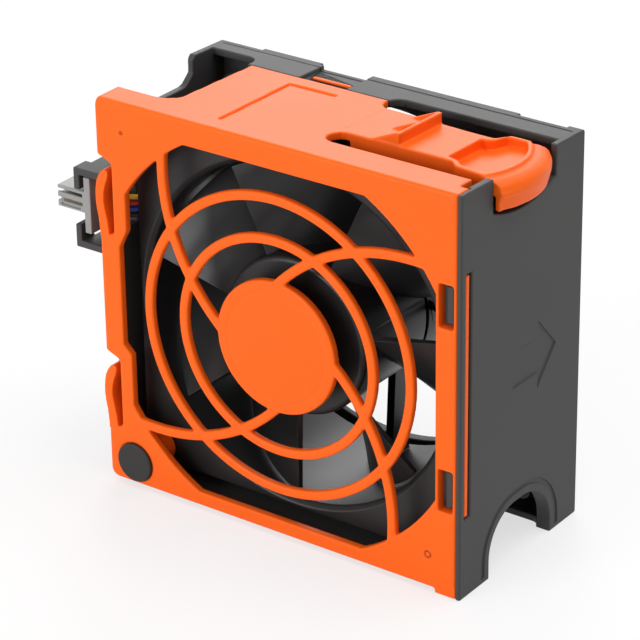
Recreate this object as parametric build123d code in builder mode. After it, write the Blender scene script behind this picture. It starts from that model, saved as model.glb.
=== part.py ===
from build123d import *
import os
from math import atan2, cos, degrees, radians, sin

# Server fan module: a 92 mm fan clamped between a black housing and an orange front cover.
# X runs to the right, Y from the cover to the exhaust side, Z up. Lengths are millimetres and
# angles are degrees. Depths are counted from the cover's front face while the pieces are drawn.
# Finished pieces have their origin on the underside, below the middle of the fan.

os.makedirs("parts", exist_ok=True)

# Overall sizes of the module
module_width = 105.0
module_depth = 51.5
front_height = 103.9
back_height = 101.95
wall = 1.8
top_plate = 2.0

# The standard fan and where it sits
fan_size = 92.0
fan_depth = 38.0
fan_front = 7.0
axis_height = 51.6
hole_spacing = 82.5

# Clearances and the overrun of every cut
fit_gap = 0.3
hinge_gap = 0.2
running_gap = 0.04
overrun = 3.0

half_width = module_width / 2
half_fan = fan_size / 2
half_spacing = hole_spacing / 2
fan_back = fan_front + fan_depth
fan_axis = Axis((0, 0, axis_height), (0, 1, 0))
origin_depth = fan_front + fan_depth / 2
top_fall = front_height - back_height
top_angle = degrees(atan2(top_fall, module_depth))


def facing(depth, height=0):
    """A plane across the airflow at a depth, with its normal to the front."""
    return Plane(origin=(0, depth, height), x_dir=(1, 0, 0), z_dir=(0, -1, 0))


def beside(across):
    """A plane along the airflow, with local x along Y and local y up."""
    return Plane.YZ.offset(across)


def on_top(lift=0):
    """A plane parallel to the sloping top face, raised by lift."""
    slope = radians(top_angle)
    top_face = Plane(origin=(0, 0, front_height), x_dir=(1, 0, 0), z_dir=(0, sin(slope), cos(slope)))
    return top_face.offset(lift)


def across_top(depth):
    """A plane square to the sloping top face, with local y standing up from it."""
    slope = radians(top_angle)
    origin = (0, depth * cos(slope), front_height - depth * sin(slope))
    return Plane(origin=origin, x_dir=(1, 0, 0), z_dir=(0, -cos(slope), sin(slope)))


def polar(radius, angle):
    """A point on a circle about the fan's axis, in a plane across the airflow."""
    return radius * cos(radians(angle)), radius * sin(radians(angle))


def block(low, high, mode=Mode.ADD):
    """A box between two opposite corners, in the part that is open."""
    sizes = [end - start for start, end in zip(low, high)]
    middle = [(start + end) / 2 for start, end in zip(low, high)]
    with Locations(Plane(origin=middle)):
        Box(*sizes, mode=mode)


def ring(outer, inner, front, back, mode=Mode.ADD):
    """A ring about the fan's axis between two depths, in the part that is open."""
    with BuildSketch(facing(back, axis_height)) as section:
        Circle(outer)
        if inner > 0:
            Circle(inner, mode=Mode.SUBTRACT)
    extrude(section.sketch, amount=back - front, mode=mode)


def post(radius, across, height, front, back, mode=Mode.ADD):
    """A round post along the airflow between two depths, in the part that is open."""
    with BuildSketch(facing(back, height)) as section:
        with Locations((across, 0)):
            Circle(radius)
    extrude(section.sketch, amount=back - front, mode=mode)


def finish(part, name):
    """Move a finished piece to the shared origin, name it and write it out."""
    piece = part.moved(Location((0, -origin_depth, 0)))
    piece.label = name
    export_step(piece, "parts/" + name + ".step")


corner_spots = [(x, axis_height + z) for x in (-half_spacing, half_spacing) for z in (-half_spacing, half_spacing)]

# Front cover: orange moulding with face, finger guard and top plate in one piece
face_thickness = 3.0
rim_depth = 5.0
cover_right = 51.2
cover_base = 1.1
cover_corner = 2.4
edge_round = 0.9

# The window in the face is a square cut by a circle, with a straight cut at the bottom left
window_left = -44.2
window_right = 45.4
window_bottom = 5.0
window_top = 97.4
window_corner_radius = 52.6
window_round = 0.8
window_cut_low = (-26.6, 4.4)
window_cut_high = (-44.6, 21.7)
bite_left = -46.6
bite_levels = (37.0, 39.2, 65.6, 70.5)

# Finger guard
bar_width = 2.5
bar_round = 0.8
inner_ring_radius = 27.6
outer_ring_radius = 38.2
hub_disc_radius = 17.2
hub_disc_round = 0.6
hub_step_radius = 14.6
hub_step_width = 0.7
hub_step_depth = 0.3
spoke_count = 4
spoke_root_angle = 184.5
spoke_middle_radius = 33.2
spoke_middle_angle = 149.0
spoke_end_radius = 56.0
spoke_end_angle = 125.4

# Top plate, seen from above, with the round ends of the two slots beside the latch
bar_back = 8.6
bar_right_back = 9.8
post_left = 48.7
plate_left = -35.2
plate_back = 39.8
plate_corner = 5.0
cheek_bottom = 95.6
front_slot_end = 7.0
rear_slot_end = 5.3
rear_slot_back = 42.5
groove_width = 0.6
groove_depth = 0.3
groove_line = ((-19.1, 5.8), (-19.9, 34.5), (-6.3, 34.6))

# Root of the latch's spring arm, and the arm's edges
arm_root = 8.4
arm_front = 16.6
arm_back = 35.2

# Windows in the right border for the housing's hooks, and the tongue beside them
catch_left = 46.2
catch_right = 50.3
catch_height = 11.0
catch_levels = (28.1, 75.6)
tongue_front = 2.2
tongue_back = 3.5
tongue_low = 21.5
tongue_high = 83.5
tongue_reach = 1.0
foot_left = 45.4
foot_base = 0.1

# Slots of the leaf springs on the left border
spring_roots = (68.3, 15.7)
slot_right = -48.0
slot_height = 20.6
slot_shoulder = 19.0
slot_round = 1.4

# Round bumper at the bottom left
bumper_across = -44.3
bumper_height = 7.2
bumper_radius = 5.2
bumper_seat = 1.6
bumper_proud = 0.8
bumper_round = 0.5

# Bosses that press on the fan's front flange
boss_radius = 4.4

# Hook at the back of the top plate, which snaps into the housing's strip
hook_left = -19.2
hook_right = -8.1
hook_front = 42.7
hook_back = 43.9
hook_neck = 1.6
hook_drop = 0.5
hook_root = 3.0

front_slot_radius = (arm_front - bar_right_back) / 2
rear_slot_radius = (rear_slot_back - arm_back) / 2
front_slot_centre = (front_slot_end + front_slot_radius, bar_right_back + front_slot_radius)
rear_slot_centre = (rear_slot_end + rear_slot_radius, arm_back + rear_slot_radius)
slot_ends = ((front_slot_centre, front_slot_radius), (rear_slot_centre, rear_slot_radius))
plate_right = arm_root - hinge_gap

with BuildPart() as finger_guard:
    for ring_radius in (outer_ring_radius, inner_ring_radius):
        with BuildSketch(beside(0)) as bar_section:
            with Locations((face_thickness / 2, axis_height + ring_radius)):
                RectangleRounded(face_thickness, bar_width, bar_round)
        revolve(bar_section.sketch, axis=fan_axis, revolution_arc=360)
    for spoke in range(spoke_count):
        turn = 360 * spoke / spoke_count
        with BuildLine(facing(face_thickness / 2, axis_height)) as spoke_line:
            ThreePointArc(
                polar(hub_disc_radius - bar_width, spoke_root_angle + turn),
                polar(spoke_middle_radius, spoke_middle_angle + turn),
                polar(spoke_end_radius, spoke_end_angle + turn),
            )
        spoke_start = Plane(origin=spoke_line.line @ 0, x_dir=(0, 1, 0), z_dir=spoke_line.line % 0)
        with BuildSketch(spoke_start) as bar_section:
            RectangleRounded(face_thickness, bar_width, bar_round)
        sweep(bar_section.sketch, path=spoke_line.line)

with BuildPart() as hub_disc:
    ring(hub_disc_radius, 0, 0, face_thickness)
    fillet(hub_disc.edges().group_by(Axis.Y)[0], radius=hub_disc_round)
    step_inner = hub_step_radius - hub_step_width
    ring(hub_step_radius, step_inner, -overrun, hub_step_depth, mode=Mode.SUBTRACT)

with BuildSketch(facing(rim_depth + overrun)) as window:
    with BuildLine():
        Polyline(
            (window_left, window_bottom),
            (window_left, bite_levels[0]),
            (bite_left, bite_levels[1]),
            (bite_left, bite_levels[2]),
            (window_left, bite_levels[3]),
            (window_left, window_top),
            (window_right, window_top),
            (window_right, window_bottom),
            close=True,
        )
    make_face()
    with Locations((0, axis_height)):
        Circle(window_corner_radius, mode=Mode.INTERSECT)
    with BuildLine():
        Polyline(
            window_cut_low,
            window_cut_high,
            (window_cut_high[0] - overrun, window_cut_low[1] - overrun),
            close=True,
        )
    make_face(mode=Mode.SUBTRACT)
    fillet(window.vertices(), radius=window_round)

with BuildPart() as front_cover:
    # Face with a rim on the left and along the bottom
    with BuildSketch(facing(rim_depth)) as face_outline:
        with BuildLine():
            FilletPolyline(
                (-half_width, cover_base),
                (-half_width, front_height),
                (cover_right, front_height),
                (cover_right, cover_base),
                radius=(cover_corner, cover_corner, 0, 0),
                close=True,
            )
        make_face()
    extrude(face_outline.sketch, amount=rim_depth)
    fillet(front_cover.faces().sort_by(Axis.Y)[0].edges(), radius=edge_round)
    block((-half_width, rim_depth, cheek_bottom), (-half_width + wall, bar_back, front_height))
    block(
        (-half_width + wall, face_thickness, cover_base + wall),
        (cover_right + overrun, rim_depth, front_height - top_plate),
        Mode.SUBTRACT,
    )
    split(bisect_by=on_top(), keep=Keep.BOTTOM)

    # Top plate
    with BuildSketch(on_top()) as plate_outline:
        with BuildLine():
            FilletPolyline(
                (-half_width, edge_round),
                (-half_width, bar_back),
                (plate_left, bar_back),
                (plate_left, plate_back),
                (plate_right, plate_back),
                (plate_right, front_slot_centre[1]),
                (front_slot_centre[0], front_slot_centre[1]),
                (front_slot_centre[0], bar_right_back),
                (post_left, bar_right_back),
                (post_left, rim_depth),
                (cover_right, rim_depth),
                (cover_right, edge_round),
                radius=(0, 0, plate_corner, 0, 0, 0, 0, 0, 0, 0, 0, 0),
                close=True,
            )
        make_face()
        for centre, radius in slot_ends:
            with Locations(centre):
                Circle(radius, mode=Mode.SUBTRACT)
    extrude(plate_outline.sketch, amount=-top_plate)
    with BuildSketch(on_top()) as groove:
        with BuildLine():
            FilletPolyline(*groove_line, radius=groove_width)
        trace(line_width=groove_width)
    extrude(groove.sketch, amount=-groove_depth, mode=Mode.SUBTRACT)

    # Hook at the back of the plate
    with BuildSketch(on_top(-top_plate)) as hook_neck_outline:
        with Locations(((hook_left + hook_right) / 2, (plate_back - hook_root + hook_back) / 2)):
            Rectangle(hook_right - hook_left, hook_back - plate_back + hook_root)
    extrude(hook_neck_outline.sketch, amount=-hook_neck)
    with BuildSketch(on_top(-hook_drop)) as hook_outline:
        with Locations(((hook_left + hook_right) / 2, (hook_front + hook_back) / 2)):
            Rectangle(hook_right - hook_left, hook_back - hook_front)
    extrude(hook_outline.sketch, amount=hook_drop - top_plate - hook_neck)

    # Window with the finger guard in it
    extrude(window.sketch, amount=rim_depth + 2 * overrun, mode=Mode.SUBTRACT)
    add(finger_guard.part)
    add(hub_disc.part)

    # Catch windows, tongue and foot on the right
    for level in catch_levels:
        block(
            (catch_left, -overrun, level - catch_height / 2),
            (catch_right, rim_depth, level + catch_height / 2),
            Mode.SUBTRACT,
        )
    block((cover_right - wall, tongue_front, tongue_low), (cover_right + tongue_reach, tongue_back, tongue_high))
    block((foot_left, 0, foot_base), (cover_right, face_thickness, cover_base + wall))

    # Slots of the leaf springs
    for root in spring_roots:
        with BuildSketch(facing(rim_depth + overrun)) as spring_slot:
            with BuildLine():
                FilletPolyline(
                    (-half_width - overrun, root),
                    (slot_right, root),
                    (slot_right, root + slot_shoulder),
                    (-half_width - overrun, root + slot_height + overrun / 2),
                    radius=(0, slot_round, slot_round, 0),
                    close=True,
                )
            make_face()
        extrude(spring_slot.sketch, amount=rim_depth + 2 * overrun, mode=Mode.SUBTRACT)

    # Seat of the bumper and bosses for the fan
    post(bumper_radius, bumper_across, bumper_height, -overrun, bumper_seat, Mode.SUBTRACT)
    for spot in corner_spots:
        post(boss_radius, spot[0], spot[1], face_thickness, fan_front)

finish(front_cover.part, "front_cover")

# Bumper: soft round pad pressed into the face
with BuildPart() as corner_bumper:
    post(bumper_radius, bumper_across, bumper_height, -bumper_proud, bumper_seat)
    fillet(corner_bumper.edges().group_by(Axis.Y)[0], radius=bumper_round)

finish(corner_bumper.part, "corner_bumper")

# Leaf springs: bowed strips that stand in the slots of the left border
spring_names = ("upper_leaf_spring", "lower_leaf_spring")
spring_width = 2.5
spring_depth = 4.3
spring_foot = (-51.2, -1.0)
spring_belly = (-52.5, 9.5)
spring_tip = (-50.6, 17.0)

for name, root in zip(spring_names, spring_roots):
    with BuildPart() as leaf_spring:
        with BuildSketch(facing(spring_depth, root)) as strip:
            with BuildLine():
                ThreePointArc(spring_foot, spring_belly, spring_tip)
            trace(line_width=spring_width)
            with Locations(spring_tip):
                Circle(spring_width / 2)
        extrude(strip.sketch, amount=spring_depth)
        split(bisect_by=Plane.XY.offset(root + hinge_gap), keep=Keep.TOP)
    finish(leaf_spring.part, name)

# Latch: spring arm with a tooth, and a thumb pad whose nose hangs over the right wall
cutout_front = 12.8
arm_right = 36.6
arm_back_right = 34.1
flange_drop = 1.7
flange_width = 1.2
tooth_left = 23.0
tooth_width = 1.1
tooth_rise = 2.9
tooth_front = 16.8
tooth_back = 34.5
gusset_reach = 6.7
gusset_width = 1.2
pad_left = 35.0
pad_drop = 4.2
tray_depth = 2.7
tray_rise = 1.2
tray_front = 15.0
nose_centre = (31.5, 23.75)
nose_radius = 25.1
pad_front = cutout_front + fit_gap
nose_front = (54.6, pad_front)
nose_back = (52.8, 37.0)
ridge_width = 1.2
band_inner = 20.6
band_step = 0.3
band_levels = (-1.5, -2.3, -3.1)
skirt_inner = 53.4
skirt_radius = 24.3
skirt_drop = 7.8
skirt_thickness = 4.0

nose_axis_plane = Plane(
    origin=on_top().from_local_coords(Vector(nose_centre[0], nose_centre[1], 0)),
    x_dir=(1, 0, 0),
    z_dir=across_top(0).z_dir,
)
nose_axis = Axis(nose_axis_plane.origin, on_top().z_dir)
nose_tip = (nose_centre[0] + nose_radius, nose_centre[1])

with BuildPart() as thumb_pad:
    with BuildSketch(on_top()) as pad_outline:
        with BuildLine():
            FilletPolyline(
                nose_back,
                (50.2, 39.3),
                (47.9, 39.4),
                (47.6, 38.0),
                (41.0, 38.0),
                (38.9, 34.2),
                (pad_left, 34.2),
                (pad_left, arm_front),
                (38.6, arm_front),
                (41.0, 14.4),
                (52.0, pad_front),
                nose_front,
                radius=(0.8, 0.8, 0.6, 1.2, 1.2, 0, 0, 1.0, 1.0, 0.5),
            )
            ThreePointArc(nose_front, nose_tip, nose_back)
        make_face()
    extrude(pad_outline.sketch, amount=-pad_drop)
    with BuildSketch(nose_axis_plane) as band:
        with BuildLine():
            Polyline(
                (band_inner, overrun),
                (band_inner, band_levels[0]),
                (band_inner + band_step, band_levels[1]),
                (nose_radius, band_levels[2]),
                (nose_radius + overrun, band_levels[2]),
                (nose_radius + overrun, overrun),
                close=True,
            )
        make_face()
    revolve(band.sketch, axis=nose_axis, revolution_arc=360, mode=Mode.SUBTRACT)

with BuildPart() as tray:
    with BuildSketch(on_top(overrun)) as tray_outline:
        with BuildLine():
            FilletPolyline(
                (arm_right, 18.4),
                (39.4, 17.8),
                (42.0, 15.6),
                (nose_tip[0], tray_front),
                (nose_tip[0], 36.8),
                (40.7, 36.8),
                (39.8, 33.4),
                (38.2, 32.1),
                (arm_right, 32.1),
                radius=(0.5, 1.0, 1.0, 0, 0, 0.8, 1.0, 1.0, 0.5),
                close=True,
            )
        make_face()
        with Locations(nose_centre):
            Circle(band_inner - ridge_width, mode=Mode.INTERSECT)
    extrude(tray_outline.sketch, amount=-overrun - tray_depth)
    with BuildSketch(across_top(plate_back)) as tray_side:
        with BuildLine():
            Polyline(
                (arm_right, -tray_depth),
                (nose_tip[0], tray_rise - tray_depth),
                (nose_tip[0], overrun),
                (arm_right, overrun),
                close=True,
            )
        make_face()
    extrude(tray_side.sketch, amount=plate_back, mode=Mode.INTERSECT)

with BuildPart() as skirt:
    with BuildSketch(nose_axis_plane) as skirt_section:
        with BuildLine():
            Polyline(
                (nose_radius, -pad_drop),
                (skirt_radius, -skirt_drop),
                (skirt_radius - skirt_thickness, -skirt_drop),
                (skirt_radius - skirt_thickness, -pad_drop),
                close=True,
            )
        make_face()
    revolve(skirt_section.sketch, axis=nose_axis, revolution_arc=360)
    block(
        (skirt_inner, pad_front, front_height - 2 * skirt_drop),
        (nose_tip[0] + overrun, plate_back, front_height),
        Mode.INTERSECT,
    )

with BuildPart() as latch_arm:
    with BuildSketch(on_top()) as arm_outline:
        with BuildLine():
            Polyline(
                (arm_root, front_slot_centre[1]),
                front_slot_centre,
                (front_slot_centre[0], arm_front),
                (arm_right, arm_front),
                (arm_right, arm_back_right),
                (rear_slot_centre[0], arm_back),
                rear_slot_centre,
                (arm_root, rear_slot_centre[1]),
                close=True,
            )
        make_face()
        for centre, radius in slot_ends:
            with Locations(centre):
                Circle(radius, mode=Mode.SUBTRACT)
    extrude(arm_outline.sketch, amount=-top_plate)
    with BuildSketch(on_top(-top_plate)) as flange_outline:
        with Locations(((front_slot_centre[0] + arm_right) / 2, arm_front + flange_width / 2)):
            Rectangle(arm_right - front_slot_centre[0], flange_width)
    extrude(flange_outline.sketch, amount=-flange_drop)
    add(thumb_pad.part)
    add(tray.part, mode=Mode.SUBTRACT)
    add(skirt.part)

    # Tooth with three gussets on its left
    with BuildSketch(across_top(tooth_back)) as tooth_section:
        with Locations((tooth_left + tooth_width / 2, tooth_rise / 2)):
            Rectangle(tooth_width, tooth_rise)
    extrude(tooth_section.sketch, amount=tooth_back - tooth_front)
    gusset_middle = (tooth_front + tooth_back + gusset_width) / 2
    for gusset_back in (tooth_front + gusset_width, gusset_middle, tooth_back):
        with BuildSketch(across_top(gusset_back)) as gusset:
            with BuildLine():
                Polyline(
                    (tooth_left - gusset_reach, 0),
                    (tooth_left + tooth_width, 0),
                    (tooth_left + tooth_width, tooth_rise),
                    (tooth_left, tooth_rise),
                    close=True,
                )
            make_face()
        extrude(gusset.sketch, amount=gusset_width)

finish(latch_arm.part, "latch_arm")

# Rear housing: black moulding that holds the fan from behind
floor_thickness = 2.0
back_face = 50.4
back_pad = 1.1
back_pad_spans = ((-40.0, -22.0), (-7.3, 35.0), (48.2, half_width))
exhaust_radius = 44.5
inner_right = half_width - wall

# Top strip, seen from above
strip_front = 42.5
strip_front_left = 44.3
strip_lip_front = 39.8
strip_lip_left = -36.6
strip_inner_right = 49.0
strip_corner = 2.8
pocket_left = -21.0
pocket_right = -7.3
pocket_depth = 1.0
hook_slot_gap = 0.4

# Left wall's top edge, as depth and height
left_wall_edge = ((rim_depth, 95.3), (33.0, 95.3), (36.2, 98.0), (36.2, 101.4), (38.3, front_height))
left_wall_rounds = (3.0, 1.0, 1.5)

# Thumb cut-out and cable arch in the right wall, as depth and height
cutout_back = 39.3
cutout_middle = (28.0, 92.1)
cutout_levels = (94.9, 94.5)
arch_front = 12.8
arch_back = 39.6
arch_top = 15.8
arch_rounds = (11.0, 12.5)
arch_wall = 1.5
arch_reach = 3.8
arch_band_inner = 2.1
arch_band_outer = 3.5
arch_band_depth = 0.4
arch_band_foot = 1.2
floor_cut_left = 35.0
floor_cut_back = 41.5
floor_cut_round = 2.5

# Slot for the cover's tongue, front post and its ledge
slot_front_edge = 1.9
slot_back_edge = 4.25
slot_low = 21.0
slot_high = 84.0
ledge_left = 49.0
ledge_back = 12.0
ledge_low = 94.0
ledge_drop = 0.9

# Hooks that snap into the cover's catch windows
hook_width = 9.4
hook_thickness = 1.5
hook_offset = 1.0
hook_tip = 1.2
hook_foot_front = 7.5
hook_foot_back = 10.5
barb_reach = 0.5
barb_length = 1.4

# Pins and pads behind the fan, and ribs that centre it
pin_radius = 2.0
pin_length = 3.2
pad_radius = 4.4
rib_spot = 25.0
rib_width = 1.6
rib_front = 38.0

# Sunk arrow that shows the airflow
arrow_tip = (40.7, 51.3)
arrow_head_depth = 32.8
arrow_head_half = 8.8
arrow_neck_half = 4.8
arrow_tail = 22.2
arrow_depth = 0.4

# Bracket of the connector and the window for its leads
bracket_left = -65.3
bracket_step = 1.8
bracket_front = 6.0
bracket_step_depth = 11.0
bracket_back = 16.6
bracket_low = 58.8
bracket_high = 80.2
bracket_wall = 1.9
lip_low = 65.0
lip_high = 74.3
lead_window_front = 8.0
lead_window_back = 12.4
lead_window_low = 67.0
lead_window_high = 76.6


def arch(across, reach, grow, low, mode=Mode.ADD):
    """The cable arch's outline, grown all round above a level and extruded to the right."""
    with BuildSketch(beside(across)) as outline:
        with BuildLine():
            FilletPolyline(
                (arch_front - grow, low),
                (arch_front - grow, arch_top + grow),
                (arch_back + grow, arch_top + grow),
                (arch_back + grow, low),
                radius=(0, arch_rounds[0] + grow, arch_rounds[1] + grow, 0),
                close=True,
            )
        make_face()
    extrude(outline.sketch, amount=reach, mode=mode)


with BuildPart() as rear_housing:
    # Shell: floor, left, right and back walls
    block((-half_width, rim_depth, 0), (half_width, back_face, front_height))
    block(
        (-half_width + wall, rim_depth, floor_thickness),
        (inner_right, back_face - wall, front_height + overrun),
        Mode.SUBTRACT,
    )
    block((cover_right, 0, 0), (half_width, rim_depth, front_height))
    ring(exhaust_radius, 0, fan_back, module_depth + overrun, Mode.SUBTRACT)
    for pad_from, pad_to in back_pad_spans:
        block((pad_from, back_face, 0), (pad_to, back_face + back_pad, front_height))
    ring(exhaust_radius, 0, fan_back, module_depth + overrun, Mode.SUBTRACT)
    split(bisect_by=on_top(), keep=Keep.BOTTOM)

    # Left wall's low top edge
    with BuildSketch(beside(-half_width - overrun)) as left_edge:
        with BuildLine():
            FilletPolyline(
                (rim_depth - overrun, left_wall_edge[0][1]),
                *left_wall_edge[1:],
                (left_wall_edge[-1][0], front_height + overrun),
                (rim_depth - overrun, front_height + overrun),
                radius=(0, left_wall_rounds[0], left_wall_rounds[1], left_wall_rounds[2], 0, 0, 0),
                close=True,
            )
        make_face()
    extrude(left_edge.sketch, amount=wall + overrun, mode=Mode.SUBTRACT)

    # Top strip with its lip, pocket and slot for the cover's hook
    with BuildSketch(on_top()) as strip_outline:
        with BuildLine():
            FilletPolyline(
                (-half_width + wall, back_face - wall),
                (-half_width + wall, strip_front_left),
                (strip_lip_left, strip_front_left),
                (strip_lip_left, strip_lip_front),
                (rear_slot_centre[0], strip_lip_front),
                (rear_slot_centre[0], strip_front),
                (inner_right, strip_front),
                (inner_right, back_face - wall),
                radius=(0, 0, strip_corner, 0, 0, 0, 0, 0),
                close=True,
            )
        make_face()
        with Locations(rear_slot_centre):
            Circle(rear_slot_radius, mode=Mode.SUBTRACT)
    extrude(strip_outline.sketch, amount=-top_plate)
    with BuildSketch(on_top()) as hook_pocket:
        with Locations(((pocket_left + pocket_right) / 2, (strip_lip_front + module_depth) / 2)):
            Rectangle(pocket_right - pocket_left, module_depth - strip_lip_front + 2 * overrun)
    extrude(hook_pocket.sketch, amount=-pocket_depth, mode=Mode.SUBTRACT)
    with BuildSketch(on_top(overrun)) as hook_slot:
        with Locations(((hook_left + hook_right) / 2, (hook_front + hook_back) / 2)):
            Rectangle(hook_right - hook_left + 2 * hook_slot_gap, hook_back - hook_front + 2 * hook_slot_gap)
    extrude(hook_slot.sketch, amount=-2 * overrun, mode=Mode.SUBTRACT)

    # Thumb cut-out, tongue slot and the ledge inside the front post
    block((ledge_left, rim_depth + fit_gap, ledge_low), (inner_right, ledge_back, front_height - 2 * ledge_drop))
    with BuildSketch(beside(inner_right - overrun)) as thumb_cutout:
        with BuildLine():
            Polyline(
                (cutout_front, cutout_levels[0]),
                (cutout_front, front_height + overrun),
                (cutout_back, front_height + overrun),
                (cutout_back, cutout_levels[1]),
            )
            ThreePointArc((cutout_back, cutout_levels[1]), cutout_middle, (cutout_front, cutout_levels[0]))
        make_face()
    extrude(thumb_cutout.sketch, amount=wall + 2 * overrun, mode=Mode.SUBTRACT)
    block(
        (cover_right - overrun, slot_front_edge, slot_low),
        (half_width + overrun, slot_back_edge, slot_high),
        Mode.SUBTRACT,
    )

    # Cable arch with a collar inside and a sunk band outside, and the floor cut away below it
    arch_inner = half_width - arch_reach
    arch(arch_inner, arch_reach, arch_wall, -overrun)
    arch(half_width - arch_band_depth, overrun, arch_band_outer, arch_band_foot, Mode.SUBTRACT)
    arch(half_width - arch_band_depth, arch_band_depth, arch_band_inner, -overrun)
    arch(arch_inner - overrun, arch_reach + 2 * overrun, 0, -overrun, Mode.SUBTRACT)
    with BuildSketch(Plane.XY.offset(-overrun)) as floor_cut:
        with Locations(((floor_cut_left + arch_inner) / 2, (arch_front + floor_cut_back) / 2)):
            RectangleRounded(arch_inner - floor_cut_left, floor_cut_back - arch_front, floor_cut_round)
    extrude(floor_cut.sketch, amount=overrun + floor_thickness, mode=Mode.SUBTRACT)
    split(bisect_by=Plane.XY, keep=Keep.TOP)

    # Hooks for the catch windows
    for level in catch_levels:
        hook_inner = inner_right - hook_offset - hook_thickness
        low = level - hook_width / 2
        high = level + hook_width / 2
        block((hook_inner, hook_tip, low), (hook_inner + hook_thickness, hook_foot_back, high))
        block((hook_inner, hook_foot_front, low), (inner_right, hook_foot_back, high))
        block((hook_inner - barb_reach, hook_tip, low), (hook_inner, hook_tip + barb_length, high))

    # Pads and pins in the fan's rear holes, ribs beside and below the fan
    for spot in corner_spots:
        post(pad_radius, spot[0], spot[1], fan_back, back_face - wall)
        post(pin_radius, spot[0], spot[1], fan_back - pin_length, fan_back)
    for rib_level in (axis_height - rib_spot, axis_height + rib_spot):
        low = rib_level - rib_width / 2
        high = rib_level + rib_width / 2
        block((-half_width + wall, rib_front, low), (-half_fan, back_face - wall, high))
        block((half_fan, rib_front, low), (inner_right, back_face - wall, high))
    for rib_across in (-rib_spot, rib_spot):
        block(
            (rib_across - rib_width / 2, rib_front, floor_thickness),
            (rib_across + rib_width / 2, back_face - wall, axis_height - half_fan),
        )

    # Arrow
    with BuildSketch(beside(half_width - arrow_depth)) as arrow:
        with BuildLine():
            Polyline(
                arrow_tip,
                (arrow_head_depth, arrow_tip[1] + arrow_head_half),
                (arrow_head_depth, arrow_tip[1] + arrow_neck_half),
                (arrow_tail, arrow_tip[1] + arrow_neck_half),
                (arrow_tail, arrow_tip[1] - arrow_neck_half),
                (arrow_head_depth, arrow_tip[1] - arrow_neck_half),
                (arrow_head_depth, arrow_tip[1] - arrow_head_half),
                close=True,
            )
        make_face()
    extrude(arrow.sketch, amount=overrun, mode=Mode.SUBTRACT)

    # Connector bracket: a channel closed at the back, open at the front and left
    block((bracket_left, bracket_front, bracket_low), (-half_width, bracket_step_depth, bracket_high))
    block(
        (bracket_left + bracket_step, bracket_front, bracket_low),
        (-half_width, bracket_back, bracket_high),
    )
    block(
        (bracket_left + bracket_step, bracket_front - overrun, bracket_low + bracket_wall),
        (-half_width, bracket_back - bracket_wall / 2, bracket_high - bracket_wall),
        Mode.SUBTRACT,
    )
    block(
        (bracket_left - overrun, bracket_front - overrun, lip_low),
        (-half_width, bracket_back - bracket_wall / 2, lip_high),
        Mode.SUBTRACT,
    )
    block(
        (-half_width - overrun, lead_window_front, lead_window_low),
        (-half_width + wall + overrun, lead_window_back, lead_window_high),
        Mode.SUBTRACT,
    )

finish(rear_housing.part, "rear_housing")

# Connector: floating plug with four contacts
plate_outer = -62.7
plate_inner = -60.7
plate_front = 6.6
plate_rear = 15.2
plate_low = 62.9
plate_high = 77.8
plug_left = -71.4
plug_front = 7.0
plug_back = 14.4
plug_low = 68.0
plug_high = 73.7
plug_wall = 0.8
contact_slot = 0.9
contact_slot_levels = (69.7, 71.4)
contact_slot_end = -64.2
latch_slot_low = 68.5
latch_slot_high = 69.2
latch_slot_left = -70.4
latch_slot_depth = 0.6
contact_count = 4
contact_width = 0.8
contact_pitch = 1.5
contact_thickness = 0.3
contact_setback = 0.8

with BuildPart() as connector_body:
    block((plate_outer, plate_front, plate_low), (plate_inner, plate_rear, plate_high))
    block((plug_left, plug_front, plug_low), (plate_outer, plug_back, plug_high))
    for slot_level in contact_slot_levels:
        block(
            (plug_left - overrun, plug_front + plug_wall, slot_level),
            (contact_slot_end, plug_back - plug_wall, slot_level + contact_slot),
            Mode.SUBTRACT,
        )
    block(
        (latch_slot_left, plug_front - overrun, latch_slot_low),
        (contact_slot_end, plug_front + latch_slot_depth, latch_slot_high),
        Mode.SUBTRACT,
    )

finish(connector_body.part, "connector_body")

with BuildPart() as connector_contacts:
    for index in range(contact_count):
        contact_front = plug_front + 2 * plug_wall + index * contact_pitch - contact_thickness
        block(
            (plug_left + contact_setback, contact_front, contact_slot_levels[0]),
            (contact_slot_end, contact_front + contact_width, contact_slot_levels[0] + contact_thickness),
        )

finish(connector_contacts.part, "connector_contacts")

# Fan frame: square flanges, barrel, three struts and the motor base
flange_thickness = 4.0
flange_corner = 3.0
duct_radius = 44.0
duct_wall = 1.6
hole_radius = 2.15
inlet_bevel = 1.2
hub_radius = 20.5
base_front = 34.3
base_back = 37.3
base_cap = 1.0
sleeve_radius = 5.4
strut_angles = (83.0, 11.0, -61.0, -133.0)
strut_sweep = 19.0
strut_front = 35.3
strut_back = 43.0
strut_width = 2.2
channel_angle = 155.0
channel_width = 8.6
channel_floor = 39.2
channel_back = 40.9
channel_wall = 0.7
lead_hole_across = -12.7
lead_hole_height = 57.5
lead_hole_radius = 3.9
duct_gate_low = 67.6
duct_gate_high = 76.4
board_post_radius = 1.0
board_post_spot = 13.0
board_post_angles = (95.0, -25.0, -145.0)
board_back = 33.2

with BuildPart() as struts:
    for angle in strut_angles:
        with BuildSketch(facing(strut_back, axis_height)) as strut:
            with BuildLine():
                Line(polar(hub_radius - duct_wall, angle), polar(duct_radius + duct_wall, angle - strut_sweep))
            trace(line_width=strut_width)
        extrude(strut.sketch, amount=strut_back - strut_front)
    channel_length = duct_radius - hub_radius + 2 * duct_wall
    with BuildSketch(facing(channel_back, axis_height)) as channel:
        with Locations(polar((duct_radius + hub_radius) / 2, channel_angle)):
            Rectangle(channel_length, channel_width, rotation=channel_angle)
    extrude(channel.sketch, amount=channel_back - strut_front)
    ring(duct_radius + duct_wall / 2, 0, strut_front, strut_back, Mode.INTERSECT)

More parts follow.
